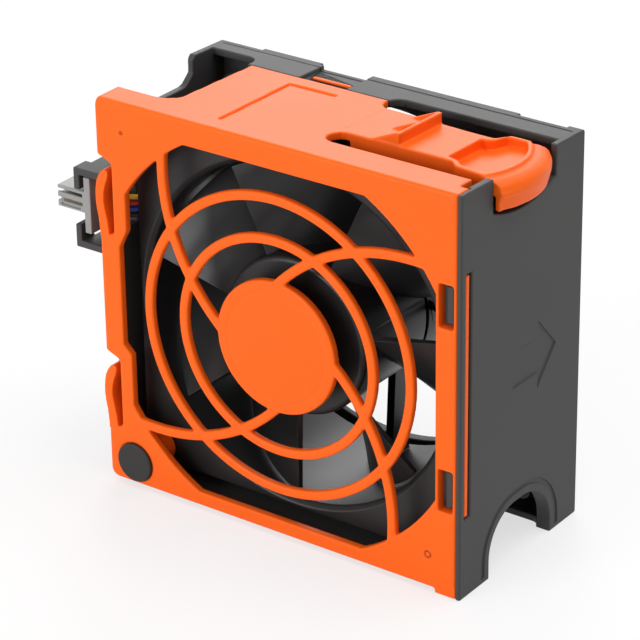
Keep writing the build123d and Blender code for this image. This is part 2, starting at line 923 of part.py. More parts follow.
with BuildPart() as fan_frame:
    for flange_back in (fan_front + flange_thickness, fan_back):
        with BuildSketch(facing(flange_back, axis_height)) as flange:
            RectangleRounded(fan_size, fan_size, flange_corner)
            with GridLocations(hole_spacing, hole_spacing, 2, 2):
                Circle(hole_radius, mode=Mode.SUBTRACT)
        extrude(flange.sketch, amount=flange_thickness)
    ring(duct_radius + duct_wall, 0, fan_front, fan_back)
    ring(duct_radius, 0, fan_front - overrun, fan_back + overrun, Mode.SUBTRACT)
    duct_edges = fan_frame.edges().filter_by(GeomType.CIRCLE).group_by(SortBy.RADIUS)[-2]
    chamfer(duct_edges.group_by(Axis.Y)[0], length=inlet_bevel)

    # Motor base with its rim, joined to the duct by the struts and the lead channel
    add(struts.part)
    ring(hub_radius, hub_radius - duct_wall, base_front, strut_back)
    with BuildSketch(facing(strut_back + overrun, axis_height)) as channel_cut:
        with Locations(polar((duct_radius + hub_radius) / 2, channel_angle)):
            Rectangle(
                channel_length + 2 * overrun,
                channel_width - 2 * channel_wall,
                rotation=channel_angle,
            )
    extrude(channel_cut.sketch, amount=strut_back + overrun - channel_floor, mode=Mode.SUBTRACT)
    ring(hub_radius, sleeve_radius, base_front, base_back)
    ring(hub_radius / 2, 0, base_back - base_cap, base_back)
    post(lead_hole_radius, lead_hole_across, lead_hole_height, base_front - overrun, channel_back, Mode.SUBTRACT)
    for angle in board_post_angles:
        spot = polar(board_post_spot, angle)
        post(board_post_radius, spot[0], spot[1] + axis_height, board_back, base_front)

finish(fan_frame.part, "fan_frame")

# Impeller: hub cup and seven blades
hub_front = 7.5
hub_back = 33.5
hub_wall = 1.6
hub_round = 1.5
shaft_radius = 1.5
shaft_front = 8.4
shaft_back = 36.0
shaft_boss_radius = 4.0
shaft_boss_back = 10.6
blade_count = 7
blade_front = 9.5
blade_back = 34.0
blade_half_angle = 23.5
blade_turn = -2.0
blade_tip_gap = 0.8
blade_stations = (18.4, 31.0, 45.0)
blade_thicknesses = (1.7, 1.4, 1.1)
blade_camber_across = (0.6, 1.6, 2.6)
blade_camber_depth = (2.4, 2.4, 2.4)

with BuildPart() as blade:
    blade_sections = []
    for station in range(len(blade_stations)):
        reach = blade_stations[station] * sin(radians(blade_half_angle)) / cos(radians(blade_half_angle))
        middle = ((blade_front + blade_back) / 2) - blade_camber_depth[station]
        with BuildSketch(Plane.XY.offset(axis_height + blade_stations[station])) as blade_section:
            with BuildLine():
                ThreePointArc((-reach, blade_front), (blade_camber_across[station], middle), (reach, blade_back))
            trace(line_width=blade_thicknesses[station])
        blade_sections.append(blade_section.sketch.face())
    loft(blade_sections)
    ring(duct_radius - blade_tip_gap, 0, hub_front, blade_back + overrun, Mode.INTERSECT)

with BuildPart() as impeller:
    ring(hub_radius, 0, hub_front, hub_back)
    fillet(impeller.edges().group_by(Axis.Y)[0], radius=hub_round)
    for index in range(blade_count):
        add(blade.part.rotate(fan_axis, blade_turn + 360 * index / blade_count))
    ring(hub_radius - hub_wall, 0, hub_front + hub_wall, hub_back + overrun, Mode.SUBTRACT)
    ring(shaft_boss_radius, 0, hub_front + hub_wall, shaft_boss_back)
    ring(shaft_radius, 0, shaft_front, hub_back, Mode.SUBTRACT)

finish(impeller.part, "impeller")

# Rotor inside the hub: steel yoke, magnet ring, shaft and clip
yoke_wall = 1.2
yoke_back = 32.0
magnet_front = 14.0
magnet_back = 30.0
magnet_wall = 1.8
clip_radius = 3.2
clip_front = 34.4
clip_back = 34.9
clip_groove = 0.3
yoke_radius = hub_radius - hub_wall
magnet_radius = yoke_radius - yoke_wall

with BuildPart() as rotor_yoke:
    ring(yoke_radius, magnet_radius, hub_front + hub_wall, yoke_back)

finish(rotor_yoke.part, "rotor_yoke")

with BuildPart() as magnet_ring:
    ring(magnet_radius, magnet_radius - magnet_wall, magnet_front, magnet_back)

finish(magnet_ring.part, "magnet_ring")

with BuildPart() as shaft:
    ring(shaft_radius, 0, shaft_front, shaft_back)
    ring(shaft_radius + overrun, shaft_radius - clip_groove, clip_front, clip_back, Mode.SUBTRACT)

finish(shaft.part, "shaft")

with BuildPart() as shaft_clip:
    ring(clip_radius, shaft_radius - clip_groove, clip_front, clip_back)
    block(
        (-shaft_radius + clip_groove, clip_front, axis_height - clip_radius - overrun),
        (shaft_radius - clip_groove, clip_back, axis_height),
        Mode.SUBTRACT,
    )

finish(shaft_clip.part, "shaft_clip")

# Bearings: brass sleeve in the motor base, two ball bearings and a preload spring
bearing_radius = 4.0
bearing_width = 4.0
bearing_fronts = (13.0, 30.0)
bearing_groove_depth = 0.3
bearing_race = 0.9
sleeve_front = 12.6
sleeve_back = 36.2
sleeve_ledge = 0.5
spring_front = 10.9
spring_outer = 3.4
spring_inner = 2.2
spring_sheet = 0.25

with BuildPart() as bearing_sleeve:
    ring(sleeve_radius, bearing_radius, sleeve_front, sleeve_back)
    ring(bearing_radius, bearing_radius - sleeve_ledge, bearing_fronts[0] + bearing_width, bearing_fronts[1])

finish(bearing_sleeve.part, "bearing_sleeve")

for name, front in zip(("front_bearing", "rear_bearing"), bearing_fronts):
    with BuildPart() as ball_bearing:
        ring(bearing_radius, shaft_radius + running_gap, front, front + bearing_width)
        for seal_from in (front - overrun, front + bearing_width - bearing_groove_depth):
            ring(
                bearing_radius - bearing_race,
                shaft_radius + bearing_race,
                seal_from,
                seal_from + overrun + bearing_groove_depth,
                Mode.SUBTRACT,
            )
    finish(ball_bearing.part, name)

with BuildPart() as preload_spring:
    with BuildSketch(beside(0)) as washer_section:
        with BuildLine():
            Polyline(
                (spring_front, axis_height + spring_inner),
                (bearing_fronts[0] - spring_sheet, axis_height + spring_outer),
                (bearing_fronts[0], axis_height + spring_outer),
                (spring_front + spring_sheet, axis_height + spring_inner),
                close=True,
            )
        make_face()
    revolve(washer_section.sketch, axis=fan_axis, revolution_arc=360)

finish(preload_spring.part, "preload_spring")

# Stator: core with six teeth, end caps that insulate it and the six coils
tooth_count = 6
core_front = 15.0
core_back = 28.0
core_radius = 15.3
core_face = 1.4
core_hub_radius = 7.8
core_tooth_width = 3.0
core_gap = 1.8
cap_thickness = 0.8
coil_inner = 8.4
coil_outer = 13.5
coil_build = 1.6


def stator_slice(front, back):
    """A slice of the stator with its hub, teeth and pole faces, in the part that is open."""
    tooth_angles = [360 * index / tooth_count for index in range(tooth_count)]
    with BuildSketch(facing(back, axis_height)) as section:
        Circle(core_radius)
        Circle(core_radius - core_face, mode=Mode.SUBTRACT)
        for angle in tooth_angles:
            gap_angle = angle + 180 / tooth_count
            with Locations(polar(core_radius, gap_angle)):
                Rectangle(2 * overrun, core_gap, rotation=gap_angle, mode=Mode.SUBTRACT)
        for angle in tooth_angles:
            with Locations(polar((core_hub_radius + core_radius - core_face) / 2, angle)):
                Rectangle(core_radius - core_hub_radius, core_tooth_width, rotation=angle)
        Circle(core_hub_radius)
        Circle(sleeve_radius, mode=Mode.SUBTRACT)
    extrude(section.sketch, amount=back - front)


with BuildPart() as stator_core:
    stator_slice(core_front, core_back)

finish(stator_core.part, "stator_core")

with BuildPart() as stator_insulator:
    stator_slice(core_front - cap_thickness, core_front)
    stator_slice(core_back, core_back + cap_thickness)

finish(stator_insulator.part, "stator_insulator")

with BuildPart() as stator_coils:
    for index in range(tooth_count):
        angle = 360 * index / tooth_count
        with BuildSketch(facing(core_back + cap_thickness + coil_build, axis_height)) as coil_outline:
            with Locations(polar((coil_inner + coil_outer) / 2, angle)):
                Rectangle(coil_outer - coil_inner, core_tooth_width + 2 * coil_build, rotation=angle)
        extrude(coil_outline.sketch, amount=core_back - core_front + 2 * cap_thickness + 2 * coil_build)
        with BuildSketch(facing(core_back + cap_thickness, axis_height)) as tooth_hole:
            with Locations(polar((coil_inner + coil_outer) / 2, angle)):
                Rectangle(2 * coil_outer, core_tooth_width, rotation=angle)
        extrude(
            tooth_hole.sketch,
            amount=core_back - core_front + 2 * cap_thickness,
            mode=Mode.SUBTRACT,
        )

finish(stator_coils.part, "stator_coils")

# Driver board behind the stator, with its parts on the rear side
board_front = 31.8
board_radius = 15.5
board_hole = 6.0
part_height = 0.7
chip_spot = (9.6, -30.0)
chip_length = 5.0
chip_width = 3.9
sensor_spot = (11.5, 95.0)
resistor_angles = (-95.0, -120.0, 20.0, 45.0, 200.0)
resistor_spot = 10.5
resistor_length = 2.0
resistor_width = 1.2

with BuildPart() as driver_board:
    ring(board_radius, board_hole, board_front, board_back)

finish(driver_board.part, "driver_board")

with BuildPart() as board_parts:
    with BuildSketch(facing(board_back + part_height, axis_height)) as parts_outline:
        with Locations(polar(*chip_spot)):
            Rectangle(chip_length, chip_width)
        for angle in resistor_angles:
            with Locations(polar(resistor_spot, angle)):
                Rectangle(resistor_length, resistor_width, rotation=angle + 90)
    extrude(parts_outline.sketch, amount=part_height)

finish(board_parts.part, "board_parts")

# Leads: four wires from the plug, through the left wall, along the fan and down the strut
lead_names = ("lead_yellow", "lead_red", "lead_blue", "lead_black")
lead_radius = 0.65
lead_top = 74.3
lead_pitch = 1.6
lead_depth = 10.0
lead_start = plate_inner + fit_gap
lead_corner = -48.4
lead_run_depth = 40.0
lead_gate = -43.4
lead_run_length = 34.0
lead_end_depth = board_back + fit_gap
lead_bends = (3.5, 3.4, 3.0, 2.2)

for index, name in enumerate(lead_names):
    level = lead_top - index * lead_pitch
    run_across = lead_gate - lead_run_length * cos(radians(channel_angle))
    run_level = level - lead_run_length * sin(radians(channel_angle))
    with BuildPart() as lead:
        with BuildLine() as lead_line:
            FilletPolyline(
                (lead_start, lead_depth, level),
                (lead_corner, lead_depth, level),
                (lead_corner, lead_run_depth, level),
                (lead_gate, lead_run_depth, level),
                (run_across, lead_run_depth, run_level),
                (run_across, lead_end_depth, run_level),
                radius=lead_bends,
            )
        with BuildSketch(Plane(origin=lead_line.line @ 0, z_dir=lead_line.line % 0)) as lead_section:
            Circle(lead_radius)
        sweep(lead_section.sketch, path=lead_line.line)
    finish(lead.part, name)
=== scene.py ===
import math

import bmesh
import bpy
from mathutils import Matrix, Vector
from mathutils.bvhtree import BVHTree


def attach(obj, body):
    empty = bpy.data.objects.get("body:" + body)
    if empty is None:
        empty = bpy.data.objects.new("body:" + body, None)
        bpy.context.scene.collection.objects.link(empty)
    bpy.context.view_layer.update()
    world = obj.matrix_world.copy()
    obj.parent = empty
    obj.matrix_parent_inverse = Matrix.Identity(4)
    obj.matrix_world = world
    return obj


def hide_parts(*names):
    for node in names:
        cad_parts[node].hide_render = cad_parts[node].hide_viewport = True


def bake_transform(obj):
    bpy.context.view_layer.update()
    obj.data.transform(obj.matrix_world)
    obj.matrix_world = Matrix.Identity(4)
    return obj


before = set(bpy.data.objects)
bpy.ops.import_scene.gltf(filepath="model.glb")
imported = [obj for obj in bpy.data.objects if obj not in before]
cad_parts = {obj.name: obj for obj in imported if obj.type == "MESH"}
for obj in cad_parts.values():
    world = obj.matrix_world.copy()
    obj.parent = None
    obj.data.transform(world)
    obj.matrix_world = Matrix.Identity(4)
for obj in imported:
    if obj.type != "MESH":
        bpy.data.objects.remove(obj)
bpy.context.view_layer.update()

# Camera: a long lens from the front right and a little above. Its axes were fitted to the straight
# edges of the housing, so that the corners of the module's box fall in place.
MM = 0.001
camera_data = bpy.data.cameras.new("camera")
camera_data.sensor_width = 36.0
camera_data.lens = 176.04
camera_data.clip_start = 0.05
camera_data.clip_end = 20.0
camera = bpy.data.objects.new("camera", camera_data)
bpy.context.scene.collection.objects.link(camera)
camera_right = Vector((0.8111437, 0.58470329, -0.01295963))
camera_up = Vector((-0.24958292, 0.36610985, 0.89647752))
camera_turn = Matrix((camera_right, camera_up, camera_right.cross(camera_up))).transposed()
camera_place = Vector((397.29, -551.61, 384.34)) * MM
camera.matrix_world = Matrix.Translation(camera_place) @ camera_turn.to_4x4()
bpy.context.scene.camera = camera

# Studio: a white floor in a white room. One soft lamp behind draws the sheen on the top faces, one
# above lights the whole, and one in front keeps the cover even. The floor glows a little towards
# the camera, so that it stays white and keeps only a soft shadow at the foot.
bpy.context.scene.view_settings.view_transform = "Standard"
floor_half = 3.0
floor_glow = 0.68
room_strength = 0.42
lamp_target = Vector((0, 0, 0.05))


def seen_rays(tree):
    """One for rays from the camera and for those that gloss or glass sends on, else zero."""
    rays = tree.nodes.new("ShaderNodeLightPath")
    share = rays.outputs["Is Camera Ray"]
    for kind in ("Is Glossy Ray", "Is Transmission Ray"):
        either = tree.nodes.new("ShaderNodeMath")
        either.operation = "MAXIMUM"
        tree.links.new(share, either.inputs[0])
        tree.links.new(rays.outputs[kind], either.inputs[1])
        share = either.outputs["Value"]
    return share


def soft_lamp(name, place, size, power):
    """A square soft box that looks at the middle of the module, in metres and watts."""
    lamp_data = bpy.data.lights.new(name, "AREA")
    lamp_data.shape = "SQUARE"
    lamp_data.size = size
    lamp_data.energy = power
    lamp = bpy.data.objects.new(name, lamp_data)
    bpy.context.scene.collection.objects.link(lamp)
    aim = (lamp_target - Vector(place)).to_track_quat("-Z", "Y")
    lamp.matrix_world = Matrix.Translation(Vector(place)) @ aim.to_matrix().to_4x4()


floor_corners = [(x * floor_half, y * floor_half, 0) for x, y in ((-1, -1), (1, -1), (1, 1), (-1, 1))]
floor_mesh = bpy.data.meshes.new("studio_floor")
floor_mesh.from_pydata(floor_corners, [], [(0, 1, 2, 3)])
studio_floor = bpy.data.objects.new("studio_floor", floor_mesh)
bpy.context.scene.collection.objects.link(studio_floor)
floor_material = bpy.data.materials.new("studio_floor")
floor_material.use_nodes = True
floor_nodes = floor_material.node_tree.nodes
floor_links = floor_material.node_tree.links
floor_nodes.clear()
floor_output = floor_nodes.new("ShaderNodeOutputMaterial")
floor_matte = floor_nodes.new("ShaderNodeBsdfDiffuse")
floor_matte.inputs["Color"].default_value = (0.9, 0.9, 0.9, 1)
floor_light = floor_nodes.new("ShaderNodeEmission")
floor_share = floor_nodes.new("ShaderNodeMath")
floor_share.operation = "MULTIPLY"
floor_share.inputs[1].default_value = floor_glow
floor_mix = floor_nodes.new("ShaderNodeMixShader")
floor_links.new(seen_rays(floor_material.node_tree), floor_share.inputs[0])
floor_links.new(floor_share.outputs["Value"], floor_mix.inputs["Fac"])
floor_links.new(floor_matte.outputs["BSDF"], floor_mix.inputs[1])
floor_links.new(floor_light.outputs["Emission"], floor_mix.inputs[2])
floor_links.new(floor_mix.outputs["Shader"], floor_output.inputs["Surface"])
studio_floor.data.materials.append(floor_material)

white_room = bpy.data.worlds.new("white_room")
bpy.context.scene.world = white_room
white_room.use_nodes = True
room_nodes = white_room.node_tree.nodes
room_links = white_room.node_tree.links
room_nodes.clear()
room_output = room_nodes.new("ShaderNodeOutputWorld")
room_mix = room_nodes.new("ShaderNodeMixShader")
room_links.new(seen_rays(white_room.node_tree), room_mix.inputs["Fac"])
for side, strength in ((1, room_strength), (2, 1.0)):
    room_light = room_nodes.new("ShaderNodeBackground")
    room_light.inputs["Color"].default_value = (1, 1, 1, 1)
    room_light.inputs["Strength"].default_value = strength
    room_links.new(room_light.outputs["Background"], room_mix.inputs[side])
room_links.new(room_mix.outputs["Shader"], room_output.inputs["Surface"])
soft_lamp("lamp_behind", place=(-0.55, 0.85, 0.62), size=0.55, power=4.0)
soft_lamp("lamp_above", place=(0.25, 0.12, 1.0), size=0.8, power=6.5)
soft_lamp("lamp_front", place=(-0.35, -1.0, 0.35), size=0.6, power=6.0)

# Rear housing: black glass-filled nylon, moulded in one piece. Its steel was eroded, so the
# outside has a fine dull grain, and every edge has the small round that the mould leaves.


def new_group(name, inputs):
    """A shader group for a surface, with named inputs that each have their usual value."""
    tree = bpy.data.node_groups.new(name, "ShaderNodeTree")
    for socket_name, value in inputs.items():
        kind = "NodeSocketFloat"
        if isinstance(value, tuple):
            kind = "NodeSocketColor" if len(value) == 4 else "NodeSocketVector"
        socket = tree.interface.new_socket(name=socket_name, in_out="INPUT", socket_type=kind)
        socket.default_value = value
    tree.interface.new_socket(name="Colour", in_out="OUTPUT", socket_type="NodeSocketColor")
    for socket_name in ("Roughness", "Height"):
        tree.interface.new_socket(name=socket_name, in_out="OUTPUT", socket_type="NodeSocketFloat")
    return tree, tree.nodes.new("NodeGroupInput"), tree.nodes.new("NodeGroupOutput")


def group_math(tree, operation, first, second=0.0):
    """A Math node whose inputs are sockets or numbers."""
    node = tree.nodes.new("ShaderNodeMath")
    node.operation = operation
    for index, value in enumerate((first, second)):
        if isinstance(value, (int, float)):
            node.inputs[index].default_value = value
        else:
            tree.links.new(value, node.inputs[index])
    return node.outputs["Value"]


def noise(tree, place, scale, detail=2.0, roughness=0.5):
    """The value of a noise at a place, at a scale that is a number or a socket."""
    texture = tree.nodes.new("ShaderNodeTexNoise")
    texture.inputs["Detail"].default_value = detail
    texture.inputs["Roughness"].default_value = roughness
    tree.links.new(place, texture.inputs["Vector"])
    if isinstance(scale, float):
        texture.inputs["Scale"].default_value = scale
    else:
        tree.links.new(scale, texture.inputs["Scale"])
    return texture.outputs["Fac"]


def tinted(tree, colour, factor):
    """A colour made lighter or darker by a factor."""
    tint = tree.nodes.new("ShaderNodeCombineColor")
    for channel in ("Red", "Green", "Blue"):
        tree.links.new(factor, tint.inputs[channel])
    product = tree.nodes.new("ShaderNodeMix")
    product.data_type = "RGBA"
    product.blend_type = "MULTIPLY"
    product.inputs["Factor"].default_value = 1.0
    tree.links.new(colour, product.inputs["A"])
    tree.links.new(tint.outputs["Color"], product.inputs["B"])
    return product.outputs["Result"]


moulded, moulded_in, moulded_out = new_group(
    "moulded_surface",
    {
        "Colour": (0.5, 0.5, 0.5, 1),
        "Clouding": 0.06,
        "Grain Scale": 4000.0,
        "Grain Contrast": 0.05,
        "Roughness": 0.5,
        "Gloss Change": 0.08,
    },
)
cloud_scale = 38.0
moulded_place = moulded.nodes.new("ShaderNodeTexCoord").outputs["Object"]
clouds = noise(moulded, moulded_place, cloud_scale, detail=3.0)
grain = noise(moulded, moulded_place, moulded_in.outputs["Grain Scale"], roughness=0.6)
cloud_swing = group_math(moulded, "SUBTRACT", clouds, 0.5)
grain_swing = group_math(moulded, "SUBTRACT", grain, 0.5)
cloud_part = group_math(moulded, "MULTIPLY", cloud_swing, moulded_in.outputs["Clouding"])
grain_part = group_math(moulded, "MULTIPLY", grain_swing, moulded_in.outputs["Grain Contrast"])
swing = group_math(moulded, "ADD", cloud_part, grain_part)
shade_factor = group_math(moulded, "ADD", group_math(moulded, "MULTIPLY", swing, 2.0), 1.0)
shaded_colour = tinted(moulded, moulded_in.outputs["Colour"], shade_factor)
gloss_part = group_math(moulded, "MULTIPLY", cloud_swing, moulded_in.outputs["Gloss Change"])
gloss_sum = group_math(moulded, "ADD", gloss_part, moulded_in.outputs["Roughness"])
moulded.links.new(shaded_colour, moulded_out.inputs["Colour"])
moulded.links.new(gloss_sum, moulded_out.inputs["Roughness"])
moulded.links.new(grain, moulded_out.inputs["Height"])


def grouped_material(name, group, values, bump_strength, bump_depth):
    """A material and its shader, with colour, roughness and bump from a shared group."""
    material = bpy.data.materials.new(name)
    material.use_nodes = True
    nodes = material.node_tree.nodes
    links = material.node_tree.links
    shader = nodes["Principled BSDF"]
    surface = nodes.new("ShaderNodeGroup")
    surface.node_tree = group
    for socket_name, value in values.items():
        surface.inputs[socket_name].default_value = value
    bump = nodes.new("ShaderNodeBump")
    bump.inputs["Strength"].default_value = bump_strength
    bump.inputs["Distance"].default_value = bump_depth
    links.new(surface.outputs["Colour"], shader.inputs["Base Color"])
    links.new(surface.outputs["Roughness"], shader.inputs["Roughness"])
    links.new(surface.outputs["Height"], bump.inputs["Height"])
    links.new(bump.outputs["Normal"], shader.inputs["Normal"])
    return material, shader


def moulded_plastic(name, colour, roughness, clouding, grain_scale, grain_contrast, grain_height):
    """A moulded plastic with flow clouds and eroded grain from the shared group."""
    values = {
        "Colour": (*colour, 1),
        "Clouding": clouding,
        "Grain Scale": grain_scale,
        "Grain Contrast": grain_contrast,
        "Roughness": roughness,
    }
    material, shader = grouped_material(name, moulded, values, bump_strength=1.0, bump_depth=grain_height)
    shader.inputs["Specular IOR Level"].default_value = 0.36
    return material


def dress(node, material):
    """Give a CAD node its material."""
    for material_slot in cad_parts[node].material_slots:
        material_slot.material = material


def merged(node):
    """A bmesh copy of a CAD node with its loose triangles joined."""
    work = bmesh.new()
    work.from_mesh(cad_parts[node].data)
    bmesh.ops.remove_doubles(work, verts=work.verts, dist=0.002 * MM)
    return work


def mesh_object(work, name):
    """A linked object from a bmesh, which is freed."""
    mesh = bpy.data.meshes.new(name)
    work.to_mesh(mesh)
    work.free()
    draft = bpy.data.objects.new(name, mesh)
    bpy.context.scene.collection.objects.link(draft)
    return draft


def plain_mesh(draft):
    """What the modifiers of an object make of its mesh. The object and its old mesh go."""
    graph = bpy.context.evaluated_depsgraph_get()
    mesh = bpy.data.meshes.new_from_object(draft.evaluated_get(graph))
    old_mesh = draft.data
    bpy.data.objects.remove(draft)
    bpy.data.meshes.remove(old_mesh)
    return mesh


def new_piece(name, mesh, material, node, body=None):
    """A named smooth piece in place of a CAD node. It rides on a body, when one is given."""
    mesh.name = name
    mesh.polygons.foreach_set("use_smooth", [True] * len(mesh.polygons))
    mesh.materials.clear()
    mesh.materials.append(material)
    piece = bpy.data.objects.new(name, mesh)
    bpy.context.scene.collection.objects.link(piece)
    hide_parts(node)
    if body:
        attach(piece, body)
    return piece


def room_beside(edge, face):
    """How far an edge can move into a face before it meets another edge of that face."""
    hair = 0.001 * MM
    start = edge.verts[0].co
    along = edge.verts[1].co - start
    length = along.length
    along.normalize()
    inward = face.normal.cross(along)
    for loop in face.loops:
        if loop.edge is edge and (loop.link_loop_next.vert.co - loop.vert.co).dot(along) < 0:
            inward.negate()
    room = 1.0
    for other in face.edges:
        if other is edge:
            continue
        ends = sorted(((v.co - start).dot(along), (v.co - start).dot(inward)) for v in other.verts)
        low, high = max(ends[0][0], 0.0), min(ends[1][0], length)
        if high - low < 0.001 * length:
            continue
        slope = (ends[1][1] - ends[0][1]) / (ends[1][0] - ends[0][0])
        reach = sorted(ends[0][1] + slope * (place - ends[0][0]) for place in (low, high))
        if reach[1] > hair:
            room = min(room, max(reach[0], 0.0) if reach[0] > hair else sum(reach) / 2)
    return room


def rounded_mesh(source, widths, radius):
    """The source mesh with each edge in widths rounded to its own width."""
    work = bmesh.new()
    work.from_mesh(source)
    for face in work.faces:
        face.smooth = True
    work.edges.ensure_lookup_table()
    weight = work.edges.layers.float.new("bevel_weight_edge")
    for index, width in widths.items():
        work.edges[index][weight] = width / radius
        work.edges[index].smooth = width > 0
    draft = mesh_object(work, "draft")
    bevel = draft.modifiers.new("round", "BEVEL")
    bevel.width = radius
    bevel.segments = 2
    bevel.limit_method = "WEIGHT"
    bevel.use_clamp_overlap = False
    flats = draft.modifiers.new("flats", "WEIGHTED_NORMAL")
    flats.mode = "FACE_AREA"
    flats.weight = 100
    flats.keep_sharp = True
    return plain_mesh(draft)


def softened(node, name, radius, body, material):
    """A copy of a CAD node with rounded edges, which rides on the node's body and replaces it."""
    flat_angle = math.radians(0.3)
    sharp_angle = math.radians(35)
    least_width = 0.04 * MM
    share_of_room = 0.42
    work = merged(node)
    surface = BVHTree.FromBMesh(work)
    bmesh.ops.dissolve_limit(
        work, angle_limit=flat_angle, verts=work.verts, edges=work.edges, delimit={"NORMAL"}
    )
    work.normal_update()
    work.edges.index_update()
    room = {}
    for edge in work.edges:
        if len(edge.link_faces) == 2 and edge.calc_face_angle() > sharp_angle:
            beside = min(room_beside(edge, face) for face in edge.link_faces)
            room[edge] = min(radius, share_of_room * beside)
    # Along a chain of edges the width changes slowly.
    ways = {edge: (edge.verts[1].co - edge.verts[0].co).normalized() for edge in room}
    for _ in range(6):
        eased = dict(room)
        for edge in room:
            for other in [near for corner in edge.verts for near in corner.link_edges]:
                if other is not edge and other in room and abs(ways[other].dot(ways[edge])) > 0.85:
                    eased[edge] = min(eased[edge], room[other] + 0.3 * edge.calc_length())
        room = eased
    widths = {edge.index: width if width > least_width else 0.0 for edge, width in room.items()}
    ends = {edge.index: [corner.co.copy() for corner in edge.verts] for edge in room}
    source = bpy.data.meshes.new("source")
    work.to_mesh(source)
    work.free()
    # A corner that the bevel throws off the surface is given back its sharp edges.
    for _ in range(4):
        mesh = rounded_mesh(source, widths, radius)
        thrown = []
        for vertex in mesh.vertices:
            place, _, _, distance = surface.find_nearest(vertex.co)
            if distance > 0.75 * radius:
                thrown.append(place)
        if not thrown:
            break
        for index, corners in ends.items():
            if any((corner - place).length < 2.5 * radius for corner in corners for place in thrown):
                widths[index] = 0.0
    bpy.data.meshes.remove(source)
    new_piece(name, mesh, material, node, body)


housing_black = moulded_plastic(
    "housing_black",
    (0.042, 0.0415, 0.041),
    roughness=0.55,
    clouding=0.05,
    grain_scale=5200.0,
    grain_contrast=0.16,
    grain_height=0.03 * MM,
)
softened("rear_housing", "housing_moulding", 0.4 * MM, "module", housing_black)

# Fan frame: the duct, flanges and struts of the fan in one black moulding. It is smoother than
# the housing and a little glossier, as the fan maker polishes the duct.
fan_black = moulded_plastic(
    "fan_black",
    (0.013, 0.013, 0.0135),
    roughness=0.4,
    clouding=0.05,
    grain_scale=3000.0,
    grain_contrast=0.04,
    grain_height=0.008 * MM,
)
softened("fan_frame", "fan_moulding", 0.4 * MM, "module", fan_black)

# Bearing sleeve, bearings and preload spring: turned brass and ground steel rings on the fan's
# axis. The cutting tool leaves fine rings about that axis, and the steel has a soft grey sheen.
fan_axis_height = 51.6 * MM
turned, turned_in, turned_out = new_group(
    "turned_surface",
    {"Colour": (0.6, 0.6, 0.6, 1), "Ring Scale": 9000.0, "Contrast": 0.2, "Roughness": 0.3},
)
stain_scale = 260.0
turned_place = turned.nodes.new("ShaderNodeTexCoord").outputs["Object"]
turned_split = turned.nodes.new("ShaderNodeSeparateXYZ")
turned.links.new(turned_place, turned_split.inputs["Vector"])
beside_axis = turned_split.outputs["X"]
above_axis = group_math(turned, "SUBTRACT", turned_split.outputs["Z"], fan_axis_height)
square_beside = group_math(turned, "MULTIPLY", beside_axis, beside_axis)
square_above = group_math(turned, "MULTIPLY", above_axis, above_axis)
axis_distance = group_math(turned, "SQRT", group_math(turned, "ADD", square_beside, square_above))
ring_place = turned.nodes.new("ShaderNodeCombineXYZ")
turned.links.new(axis_distance, ring_place.inputs["X"])
turned.links.new(turned_split.outputs["Y"], ring_place.inputs["Y"])
rings = noise(turned, ring_place.outputs["Vector"], turned_in.outputs["Ring Scale"], detail=3.0)
stains = noise(turned, turned_place, stain_scale)
ring_swing = group_math(turned, "SUBTRACT", rings, 0.5)
stain_swing = group_math(turned, "SUBTRACT", stains, 0.5)
turned_swing = group_math(turned, "ADD", ring_swing, stain_swing)
turned_part = group_math(turned, "MULTIPLY", turned_swing, turned_in.outputs["Contrast"])
turned_colour = tinted(turned, turned_in.outputs["Colour"], group_math(turned, "ADD", turned_part, 1.0))
turned_gloss = group_math(turned, "MULTIPLY", turned_part, 0.6)
turned_roughness = group_math(turned, "ADD", turned_gloss, turned_in.outputs["Roughness"])
turned.links.new(turned_colour, turned_out.inputs["Colour"])
turned.links.new(turned_roughness, turned_out.inputs["Roughness"])
turned.links.new(rings, turned_out.inputs["Height"])


def turned_metal(name, colour, roughness, ring_scale, contrast):
    """A turned or ground metal with rings about the fan's axis from the shared group."""
    values = {
        "Colour": (*colour, 1),
        "Ring Scale": ring_scale,
        "Contrast": contrast,
        "Roughness": roughness,
    }
    material, shader = grouped_material(name, turned, values, bump_strength=0.6, bump_depth=0.004 * MM)
    shader.inputs["Metallic"].default_value = 1.0
    return material


sleeve_brass = turned_metal(
    "sleeve_brass", (0.72, 0.5, 0.2), roughness=0.32, ring_scale=7000.0, contrast=0.18
)
ground_steel = turned_metal(
    "ground_steel", (0.56, 0.56, 0.57), roughness=0.22, ring_scale=12000.0, contrast=0.12
)
spring_steel = turned_metal(
    "spring_steel", (0.42, 0.42, 0.43), roughness=0.35, ring_scale=5000.0, contrast=0.25
)
dress("bearing_sleeve", sleeve_brass)
dress("front_bearing", ground_steel)
dress("rear_bearing", ground_steel)
dress("preload_spring", spring_steel)

# Stator: a stack of thin punched steel sheets between two moulded end caps. The sheets' cut edges
# show as fine even lines round the teeth.
layered, layered_in, layered_out = new_group(
    "layered_surface",
    {
        "Colour": (0.4, 0.4, 0.4, 1),
        "Line Colour": (0.1, 0.1, 0.1, 1),
        "Pitch": 0.5 * MM,
        "Direction": (0, 1, 0),
    },
)
layered_place = layered.nodes.new("ShaderNodeTexCoord").outputs["Object"]
layer_axis = layered.nodes.new("ShaderNodeVectorMath")
layer_axis.operation = "DOT_PRODUCT"
layered.links.new(layered_place, layer_axis.inputs[0])
layered.links.new(layered_in.outputs["Direction"], layer_axis.inputs[1])
layer_count = group_math(layered, "DIVIDE", layer_axis.outputs["Value"], layered_in.outputs["Pitch"])
layer_wave = group_math(layered, "SINE", group_math(layered, "MULTIPLY", layer_count, math.tau))
layer_height = group_math(layered, "ADD", group_math(layered, "MULTIPLY", layer_wave, 0.5), 0.5)
layer_mottle = noise(layered, layered_place, 600.0)
layer_shade = group_math(layered, "ADD", layer_mottle, 0.5)
